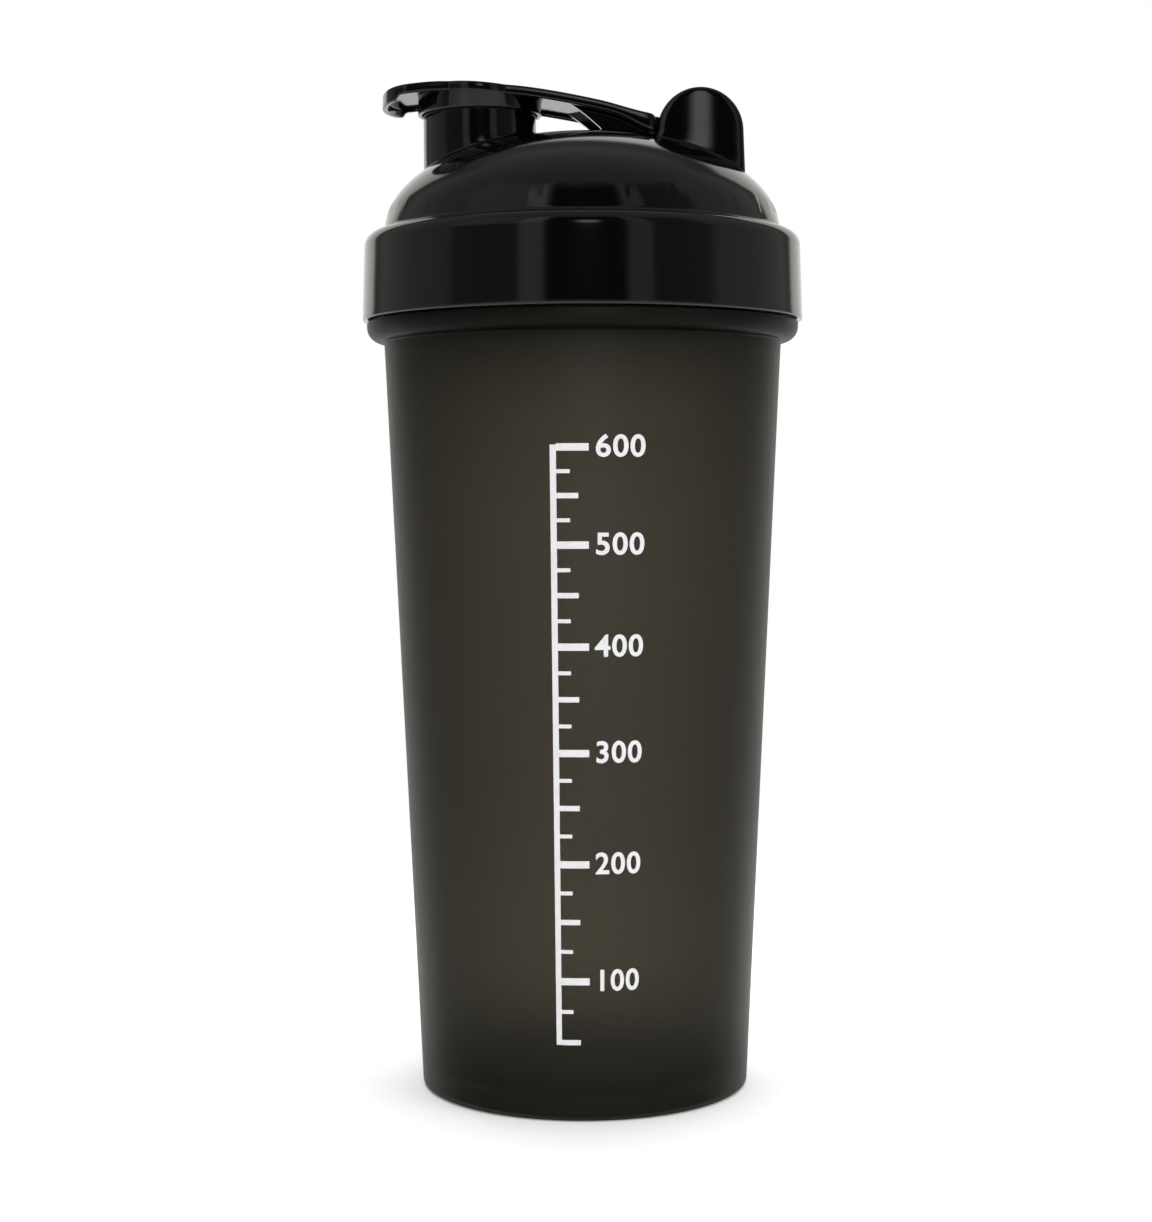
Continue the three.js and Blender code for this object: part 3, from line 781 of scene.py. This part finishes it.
def make_flip_cap():
    top = cap_top_line()
    levels = cap_levels()
    work = Patchwork()
    rows = []
    for inset, rise, depth in levels:
        rows.append([(x, y, top(x) + (rise - depth(x))) for x, y in cap_outline(inset)])
    work.grid(rows)
    flat, triangles = fill_plan(cap_outline(levels[0][0]), [], CAP_SPACING)
    work.sheet(flat, triangles, lambda x, y: top(x))
    flat, triangles = fill_plan(cap_outline(levels[-1][0]), [], UNDERSIDE_SPACING)
    work.sheet(flat, triangles, lambda x, y: top(x) - CAP_PLATE)
    tray = work.build("flip_cap_shell")

    parts = []
    for side in (1, -1):
        inner, outer = side * (BARREL_HALF - WEB_WIDTH), side * BARREL_HALF
        sections = []
        for i in range(49):
            x = WEB_START + (HINGE_X - WEB_START) * i / 48
            drop = WEB_DEPTH + WEB_DROP * ((x - WEB_START) / WEB_SPAN) ** WEB_CURVE
            floor = max(top(x) - drop, dome_height(x, inner) + SWEEP_GAP)
            ceiling = top(x) - CAP_PLATE / 2
            around = ((outer, ceiling), (outer, floor), (inner, floor), (inner, ceiling))
            sections.append([(x, y, z) for y, z in around])
        web = Patchwork()
        web.bar(sections)
        parts.append(web.build("web"))
    ring = Patchwork()
    ring_top = CAP_TOP - 1.6
    profile = [
        *arc(RING_INNER + RING_ROUND, RING_BOTTOM + RING_ROUND, RING_ROUND, 180, 270, 4),
        *arc(RING_OUTER - RING_ROUND, RING_BOTTOM + RING_ROUND, RING_ROUND, 270, 360, 4),
    ]
    profile += [(RING_OUTER, ring_top), (RING_INNER, ring_top)]
    ring.grid(turned_rows(profile + profile[:1], 144, SPOUT_X))
    parts.append(ring.build("ring"))
    spigot = Patchwork()
    spigot_corner = (SPIGOT_RADIUS - SPIGOT_ROUND, SPIGOT_END + SPIGOT_ROUND)
    profile = [(0.0, SPIGOT_END), *arc(*spigot_corner, SPIGOT_ROUND, -90, 0, 3)]
    profile += [(SPIGOT_RADIUS, CAP_TOP - 1.2), (0.0, CAP_TOP - 1.2)]
    spigot.grid(turned_rows(profile, 96, SPOUT_X))
    parts.append(spigot.build("spigot"))
    parts.append(rod_along_y("barrel", BARREL_RADIUS, BARREL_HALF, ROD_ROUND))
    trunnion_half = EAR_INNER + SOCKET_DEPTH - FIT_GAP
    parts.append(rod_along_y("trunnions", TRUNNION_RADIUS, trunnion_half, ROD_ROUND))
    for part in parts:
        combine(tray, part, "UNION")
    return smooth(tray)


def cup_radius(z):
    """Outer radius of the cup's wall at a height."""
    return FOOT_RADIUS + CUP_TAPER * (z - FOOT_ROUND)


def fill_height(millilitres):
    """Height at which the cup holds a volume, with its inside taken as a plain cone."""
    bottom = FOOT_RECESS + FLOOR
    start = cup_radius(bottom) - CUP_WALL
    radius = (start**3 + 3 * CUP_TAPER * millilitres * 1000 / math.pi) ** (1 / 3)
    return bottom + (radius - start) / CUP_TAPER


def flat_bar(work, left, right, middle, thickness):
    """Adds a thin bar as a closed box, in columns narrow enough to bend round the cup."""
    columns = max(2, math.ceil((right - left) / PRINT_COLUMN))
    low, high = middle - thickness / 2, middle + thickness / 2
    sections = []
    for i in range(columns + 1):
        u = left + (right - left) * i / columns
        sections.append([(u, low, 0), (u, high, 0), (u, high, 1), (u, low, 1)])
    work.bar(sections)


def flat_numeral(text, left, middle):
    """Closed mesh of a numeral, drawn flat, one unit thick, and cut in narrow columns."""
    curve = bpy.data.curves.new("numeral", "FONT")
    curve.body = text
    curve.size = NUMERAL_SIZE
    curve.extrude = 0.5
    curve.offset = NUMERAL_WEIGHT
    curve.space_character = NUMERAL_SPACING
    curve.align_y = "CENTER"
    curve.resolution_u = 6
    letters = bpy.data.objects.new("numeral", curve)
    bpy.context.scene.collection.objects.link(letters)
    shape = letters.evaluated_get(bpy.context.evaluated_depsgraph_get())
    mesh = bpy.data.meshes.new_from_object(shape)
    bpy.data.objects.remove(letters)
    bpy.data.curves.remove(curve)
    work = bmesh.new()
    work.from_mesh(mesh)
    bpy.data.meshes.remove(mesh)
    bmesh.ops.remove_doubles(work, verts=work.verts, dist=1e-4)
    bmesh.ops.translate(work, vec=(left, middle, 0.5), verts=work.verts)
    right = max(v.co.x for v in work.verts)
    for i in range(1, math.ceil((right - left) / PRINT_COLUMN)):
        everything = list(work.verts) + list(work.edges) + list(work.faces)
        place = (left + i * PRINT_COLUMN, 0, 0)
        bmesh.ops.bisect_plane(work, geom=everything, dist=1e-5, plane_co=place, plane_no=(1, 0, 0))
    mesh = bpy.data.meshes.new("numeral")
    work.to_mesh(mesh)
    work.free()
    return mesh


def make_scale():
    """The printed measuring scale: a spine, ticks at true volumes and the hundreds as numerals."""
    bars = Patchwork()
    low, high = fill_height(SCALE_FIRST), fill_height(SCALE_LAST)
    count = round((high - low) / SPINE_ROW)
    for volume in range(SCALE_FIRST, SCALE_LAST + 1, SCALE_STEP):
        length, thickness = next(size for step, *size in TICKS if volume % step == 0)
        flat_bar(bars, SCALE_LEFT + SPINE_WIDTH, SCALE_LEFT + length, fill_height(volume), thickness)
    spine = []
    for i in range(count + 1):
        z = low - SPINE_OVERSHOOT + (high - low + 2 * SPINE_OVERSHOOT) * i / count
        left, right = SCALE_LEFT, SCALE_LEFT + SPINE_WIDTH
        spine.append([(left, z, 0), (right, z, 0), (right, z, 1), (left, z, 1)])
    bars.bar(spine)
    scale = bars.build("measuring_scale")
    work = bmesh.new()
    work.from_mesh(scale.data)
    bmesh.ops.scale(work, vec=(1 / MM, 1 / MM, 1 / MM), verts=work.verts)
    for volume in range(100, SCALE_LAST + 1, 100):
        numeral = flat_numeral(str(volume), NUMERAL_LEFT, fill_height(volume))
        work.from_mesh(numeral)
        bpy.data.meshes.remove(numeral)
    middle_radius = cup_radius((low + high) / 2)
    for vertex in work.verts:
        u, z, lift = vertex.co
        turn = u / middle_radius - math.pi / 2
        radius = cup_radius(z) - INK_SUNK + (INK_SUNK + INK_RAISED) * lift
        vertex.co = (MM * radius * math.cos(turn), MM * radius * math.sin(turn), MM * z)
    bmesh.ops.recalc_face_normals(work, faces=work.faces)
    work.to_mesh(scale.data)
    work.free()
    return scale


# ---------------------------------------------------------------- materials


def material(name):
    made = bpy.data.materials.new(name)
    made.use_nodes = True
    nodes = made.node_tree.nodes
    return made, nodes, made.node_tree.links, nodes["Principled BSDF"]


def node(nodes, kind, **settings):
    made = nodes.new(kind)
    for key, value in settings.items():
        if key in made.inputs:
            made.inputs[key].default_value = value
        else:
            setattr(made, key, value)
    return made


# How clear the cup's plastic looks at each height: it falls off at the foot, the collar and the neck,
# partly as thicker plastic and partly as painted shade from the floor under the foot and the lid round the neck
CUP_CLEARNESS_AND_SHADE = [
    (0, 0.29), (4, 0.49), (11, 0.83), (20, 1.05), (34, 1.08), (125, 1.08), (148, 0.95),
    (SHOULDER_Z - 3, 0.74), (SHOULDER_Z, 0.45), (COLLAR_TOP, 0.35), (RIM_TOP, 0.35),
]


def surface_noise(nodes, links, scale, detail=3.0):
    place = node(nodes, "ShaderNodeTexCoord")
    noise = node(nodes, "ShaderNodeTexNoise", Scale=scale, Detail=detail)
    links.new(place.outputs["Object"], noise.inputs["Vector"])
    return noise


def add_bump(nodes, links, shader, height, strength, distance):
    bump = node(nodes, "ShaderNodeBump", Strength=strength, Distance=distance)
    links.new(height, bump.inputs["Height"])
    links.new(bump.outputs["Normal"], shader.inputs["Normal"])


def spread(nodes, links, value, low, high):
    """A value from 0 to 1 carried to a range."""
    ramp = node(nodes, "ShaderNodeMapRange")
    ramp.inputs["To Min"].default_value = low
    ramp.inputs["To Max"].default_value = high
    links.new(value, ramp.inputs["Value"])
    return ramp.outputs["Result"]


def grey_ramp(nodes, stops):
    """A ramp of greys from pairs of place, from 0 to 1, and brightness."""
    ramp = nodes.new("ShaderNodeValToRGB")
    elements = ramp.color_ramp.elements
    elements[0].position = stops[0][0]
    elements[1].position = stops[-1][0]
    for place, _ in stops[1:-1]:
        elements.new(place)
    for element, (_, grey) in zip(elements, stops):
        element.color = (grey, grey, grey, 1)
    return ramp


def two_tone(nodes, links, value, low, high, places=(0, 1)):
    """A colour that runs from one to another with a value."""
    ramp = node(nodes, "ShaderNodeValToRGB")
    for element, place, colour in zip(ramp.color_ramp.elements, places, (low, high)):
        element.position = place
        element.color = (*colour, 1)
    links.new(value, ramp.inputs["Fac"])
    return ramp.outputs["Color"]


def product(nodes, links, first, second):
    """Two colours multiplied."""
    mix = node(nodes, "ShaderNodeMix", data_type="RGBA", blend_type="MULTIPLY")
    mix.inputs[0].default_value = 1.0
    links.new(first, mix.inputs[6])
    links.new(second, mix.inputs[7])
    return mix.outputs[2]


def smoke_plastic():
    """Translucent plastic, darker towards its outline and at the foot, the collar and the neck,
    there partly as thicker plastic and partly as painted shade.
    """
    made, nodes, links, shader = material("smoke_plastic")
    shader.inputs["IOR"].default_value = 1.12
    shader.inputs["Transmission Weight"].default_value = 0.92
    mottle = surface_noise(nodes, links, 60, 4)
    smoke_tint = two_tone(nodes, links, mottle.outputs["Fac"], (0.166, 0.154, 0.124), (0.182, 0.169, 0.138))
    place = node(nodes, "ShaderNodeTexCoord")
    parts = node(nodes, "ShaderNodeSeparateXYZ")
    links.new(place.outputs["Object"], parts.inputs["Vector"])
    share = node(nodes, "ShaderNodeMath", operation="DIVIDE")
    share.inputs[1].default_value = RIM_TOP * MM
    links.new(parts.outputs["Z"], share.inputs[0])
    # Ramp by height: darker at the foot, the collar and the neck, partly thicker plastic and partly painted shade
    thickness_and_shade = grey_ramp(nodes, [(z / RIM_TOP, grey) for z, grey in CUP_CLEARNESS_AND_SHADE])
    links.new(share.outputs[0], thickness_and_shade.inputs["Fac"])
    by_height = product(nodes, links, smoke_tint, thickness_and_shade.outputs["Color"])
    slant = node(nodes, "ShaderNodeLayerWeight", Blend=0.5)
    slant_shade = spread(nodes, links, slant.outputs["Facing"], 1.02, 0.18)
    links.new(product(nodes, links, by_height, slant_shade), shader.inputs["Base Color"])
    links.new(spread(nodes, links, mottle.outputs["Fac"], 0.33, 0.42), shader.inputs["Roughness"])
    grain = surface_noise(nodes, links, 2600, 2)
    add_bump(nodes, links, shader, grain.outputs["Fac"], 0.12, 0.00004)
    return made


def black_plastic():
    made, nodes, links, shader = material("black_plastic")
    shader.inputs["IOR"].default_value = 1.49
    flow = surface_noise(nodes, links, 35, 3)
    black = two_tone(nodes, links, flow.outputs["Fac"], (0.0007, 0.0007, 0.0006), (0.0011, 0.0011, 0.0010))
    links.new(black, shader.inputs["Base Color"])
    links.new(spread(nodes, links, flow.outputs["Fac"], 0.07, 0.13), shader.inputs["Roughness"])
    ripple = surface_noise(nodes, links, 90, 1)
    add_bump(nodes, links, shader, ripple.outputs["Fac"], 0.05, 0.0002)
    return made


def soft_black(name, low, high, roughness, grain_scale):
    made, nodes, links, shader = material(name)
    mottle = surface_noise(nodes, links, 80, 3)
    links.new(two_tone(nodes, links, mottle.outputs["Fac"], low, high), shader.inputs["Base Color"])
    dullness = spread(nodes, links, mottle.outputs["Fac"], roughness - 0.06, roughness + 0.06)
    links.new(dullness, shader.inputs["Roughness"])
    grain = surface_noise(nodes, links, grain_scale, 2)
    add_bump(nodes, links, shader, grain.outputs["Fac"], 0.2, 0.00005)
    return made


def print_ink():
    made, nodes, links, shader = material("print_ink")
    wear = surface_noise(nodes, links, 400, 4)
    ink = two_tone(nodes, links, wear.outputs["Fac"], (0.66, 0.66, 0.67), (0.71, 0.71, 0.72), (0.30, 0.55))
    links.new(ink, shader.inputs["Base Color"])
    links.new(spread(nodes, links, wear.outputs["Fac"], 0.42, 0.58), shader.inputs["Roughness"])
    grain = surface_noise(nodes, links, 3200, 2)
    add_bump(nodes, links, shader, grain.outputs["Fac"], 0.15, 0.00002)
    return made


def dress(obj, look):
    obj.data.materials.clear()
    obj.data.materials.append(look)


# ---------------------------------------------------------------- the bottle

smoke = smoke_plastic()
black = black_plastic()
grid_look = soft_black("grid_plastic", (0.010, 0.010, 0.010), (0.016, 0.016, 0.015), 0.38, 1800)
silicone = soft_black("silicone", (0.016, 0.016, 0.016), (0.024, 0.024, 0.023), 0.62, 2400)

cup = make_cup()
dress(cup, smoke)
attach(cup, "cup_body")
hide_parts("cup")

scale = make_scale()
dress(scale, print_ink())
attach(scale, "cup_body")

lid = make_lid()
dress(lid, black)
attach(lid, "lid_body")
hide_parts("lid")

flip_cap = make_flip_cap()
dress(flip_cap, black)
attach(flip_cap, "cap_body")
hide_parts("flip_cap")

for name, look in (("mixing_grid", grid_look), ("lid_seal", silicone), ("spout_plug", silicone)):
    dress(frame["nodes"][name], look)


# ---------------------------------------------------------------- floor, light and camera


# Floor, in metres from the bottle's axis: painted and shaded near it, plain glowing white far off
FLOOR_HALF = 30.0
FLOOR_GLOW = 0.13
FLOOR_PAINT = 0.85
PAINT_TO = 0.12
GLOW_FROM = 0.45


def add_floor():
    """A wide white sweep: it shows as plain white, but for the soft shadow round the foot."""
    mesh = bpy.data.meshes.new("floor")
    half = FLOOR_HALF
    corners = [(-half, -half, 0), (half, -half, 0), (half, half, 0), (-half, half, 0)]
    mesh.from_pydata(corners, [], [(0, 1, 2, 3)])
    floor = bpy.data.objects.new("floor", mesh)
    bpy.context.scene.collection.objects.link(floor)
    made, nodes, links, shader = material("floor")
    shader.inputs["Roughness"].default_value = 0.9
    shader.inputs["Specular IOR Level"].default_value = 0.0
    shader.inputs["Emission Color"].default_value = (1, 1, 1, 1)
    place = nodes.new("ShaderNodeTexCoord")
    distance = node(nodes, "ShaderNodeVectorMath", operation="LENGTH")
    links.new(place.outputs["Object"], distance.inputs[0])
    away = node(nodes, "ShaderNodeMapRange", interpolation_type="SMOOTHSTEP")
    away.inputs["From Min"].default_value = PAINT_TO
    away.inputs["From Max"].default_value = GLOW_FROM
    links.new(distance.outputs["Value"], away.inputs["Value"])
    glow = spread(nodes, links, away.outputs["Result"], FLOOR_GLOW, 1.0)
    links.new(glow, shader.inputs["Emission Strength"])
    paint = grey_ramp(nodes, [(0, FLOOR_PAINT), (1, 0.0)])
    links.new(away.outputs["Result"], paint.inputs["Fac"])
    links.new(paint.outputs["Color"], shader.inputs["Base Color"])
    dress(floor, made)


def add_area(name, place, aim, width, height, power):
    """A rectangular light that only shades: the gloss sees the studio instead."""
    light = bpy.data.lights.new(name, "AREA")
    light.shape = "RECTANGLE"
    light.size = width
    light.size_y = height
    light.energy = power
    obj = bpy.data.objects.new(name, light)
    obj.location = place
    obj.rotation_euler = (Vector(aim) - Vector(place)).to_track_quat("-Z", "Y").to_euler()
    obj.visible_glossy = False
    bpy.context.scene.collection.objects.link(obj)


# The studio that the gloss sees. Brightness by azimuth, in degrees from the camera's side: dark
# in front with a strip light on each side of the camera, and grey at the sides.
RING_LIGHT = [
    (-180, 0.12), (-135, 0.12), (-125, 0.31), (-74, 0.30), (-68, 0.14), (-34, 0.11), (-31, 0.46),
    (-21, 0.46), (-18, 0.02), (22, 0.02), (25, 0.38), (35, 0.38), (38, 0.10), (68, 0.14),
    (74, 0.33), (127, 0.31), (136, 0.12), (180, 0.12),
]
BACKDROP_FROM = 136
BACKDROP_TO = 142
BACKDROP_LOW_EDGE = 38
BACKDROP_HIGH_EDGE = 44
OVERHEAD_FROM = 46
OVERHEAD_TO = 60
OVERHEAD = 0.28
SIDE_BOX = 0.26
SIDE_BOX_FROM = 24
SIDE_BOX_TO = 78
SIDE_BOX_FADE_IN = 4
SIDE_BOX_FADE_OUT = 12
SIDE_BOX_BOTTOM = 12
SIDE_BOX_FULL = 20
LAMP_AZIMUTH = 3
LAMP_HALF_WIDTH = 8
LAMP_SIDE_FADE = 6
LAMP_BOTTOM = 12.2
LAMP_FULL = LAMP_BOTTOM + 2
LAMP_TOP = 30
LAMP_TOP_FADE = 5
LAMP = 1.8


def add_world():
    """The studio: a ring of light by azimuth, a lamp over the camera, a backdrop and a ceiling.

    The camera itself sees plain white behind the object.
    """
    world = bpy.data.worlds.new("studio")
    bpy.context.scene.world = world
    world.use_nodes = True
    nodes, links = world.node_tree.nodes, world.node_tree.links

    def calculate(operation, first, second=None):
        made = node(nodes, "ShaderNodeMath", operation=operation)
        for socket, value in zip(made.inputs, (first, second)):
            if isinstance(value, (int, float)):
                socket.default_value = value
            elif value is not None:
                links.new(value, socket)
        return made.outputs[0]

    def step(value, low, high):
        """0 below a low angle and 1 over a high one, both in degrees."""
        made = node(nodes, "ShaderNodeMapRange", interpolation_type="SMOOTHSTEP")
        made.inputs["From Min"].default_value = math.radians(low)
        made.inputs["From Max"].default_value = math.radians(high)
        links.new(value, made.inputs["Value"])
        return made.outputs["Result"]

    place = nodes.new("ShaderNodeTexCoord")
    parts = nodes.new("ShaderNodeSeparateXYZ")
    links.new(place.outputs["Generated"], parts.inputs["Vector"])
    front = calculate("MULTIPLY", parts.outputs["Y"], -1.0)
    azimuth = calculate("ARCTAN2", parts.outputs["X"], front)
    turned = calculate("ABSOLUTE", azimuth)
    height = calculate("ARCSINE", parts.outputs["Z"])
    share = calculate("MULTIPLY_ADD", azimuth, 1 / (2 * math.pi))
    share.node.inputs[2].default_value = 0.5
    ring = grey_ramp(nodes, [((angle + 180) / 360, grey) for angle, grey in RING_LIGHT])
    links.new(share, ring.inputs["Fac"])

    behind = step(turned, BACKDROP_FROM, BACKDROP_TO)
    under = calculate("SUBTRACT", 1.0, step(height, BACKDROP_LOW_EDGE, BACKDROP_HIGH_EDGE))
    backdrop = calculate("MULTIPLY", behind, under)
    aside = calculate("ABSOLUTE", calculate("SUBTRACT", azimuth, math.radians(LAMP_AZIMUTH)))
    ahead = calculate("SUBTRACT", 1.0, step(aside, LAMP_HALF_WIDTH - LAMP_SIDE_FADE, LAMP_HALF_WIDTH))
    above = calculate("MULTIPLY", step(height, LAMP_BOTTOM, LAMP_FULL), ahead)
    below_top = calculate("SUBTRACT", 1.0, step(height, LAMP_TOP - LAMP_TOP_FADE, LAMP_TOP))
    lamp = calculate("MULTIPLY", above, below_top)
    lamp = calculate("MULTIPLY", lamp, LAMP)
    leftward = calculate("MULTIPLY", azimuth, -1.0)
    box_start = step(leftward, SIDE_BOX_FROM - SIDE_BOX_FADE_IN, SIDE_BOX_FROM)
    box_end = step(leftward, SIDE_BOX_TO - SIDE_BOX_FADE_OUT, SIDE_BOX_TO)
    across = calculate("SUBTRACT", box_start, box_end)
    side_box = calculate("MULTIPLY", across, step(height, SIDE_BOX_BOTTOM, SIDE_BOX_FULL))
    side_box = calculate("MULTIPLY", side_box, SIDE_BOX)
    level = calculate("ADD", calculate("ADD", ring.outputs["Color"], backdrop), lamp)
    level = calculate("ADD", level, side_box)
    ceiling = step(height, OVERHEAD_FROM, OVERHEAD_TO)
    blend = node(nodes, "ShaderNodeMix", data_type="FLOAT")
    links.new(ceiling, blend.inputs[0])
    links.new(level, blend.inputs[2])
    blend.inputs[3].default_value = OVERHEAD
    studio = nodes["Background"]
    studio.inputs["Color"].default_value = (1.0, 0.985, 0.945, 1)
    links.new(blend.outputs[0], studio.inputs["Strength"])

    plain = nodes.new("ShaderNodeBackground")
    plain.inputs["Color"].default_value = (1, 1, 1, 1)
    seen = nodes.new("ShaderNodeLightPath")
    choose = nodes.new("ShaderNodeMixShader")
    links.new(seen.outputs["Is Camera Ray"], choose.inputs["Fac"])
    links.new(studio.outputs["Background"], choose.inputs[1])
    links.new(plain.outputs["Background"], choose.inputs[2])
    links.new(choose.outputs["Shader"], nodes["World Output"].inputs["Surface"])


# Camera, with angles in radians and its place in metres
LENS = 66.71
PAN = -0.00328
PITCH = 0.05
ROLL = 0.00355
CAMERA_PLACE = (0, -0.5001, 0.1295)


def add_camera():
    camera = bpy.data.cameras.new("camera")
    camera.sensor_fit = "AUTO"
    camera.sensor_width = 36.0
    camera.lens = LENS
    obj = bpy.data.objects.new("camera", camera)
    level = Vector((math.sin(PAN), math.cos(PAN), 0))
    right = Vector((math.cos(PAN), -math.sin(PAN), 0))
    ahead = level * math.cos(PITCH) - Vector((0, 0, math.sin(PITCH)))
    up = right.cross(ahead)
    across = right * math.cos(ROLL) - up * math.sin(ROLL)
    upward = up * math.cos(ROLL) + right * math.sin(ROLL)
    place = Matrix((across, upward, -ahead)).transposed().to_4x4()
    place.translation = Vector(CAMERA_PLACE)
    obj.matrix_world = place
    bpy.context.scene.collection.objects.link(obj)
    bpy.context.scene.camera = obj


add_floor()
add_world()
add_area("key", (0.12, -1.1, 0.30), (0, 0, 0.10), 0.5, 0.6, 4.2)
add_area("fill", (0.8, -0.55, 0.6), (0, 0, 0.08), 0.6, 0.6, 3.0)
add_area("top", (0, 0.15, 1.2), (0, 0, 0), 1.2, 1.2, 19.5)
add_camera()
bpy.context.scene.view_settings.view_transform = "Standard"
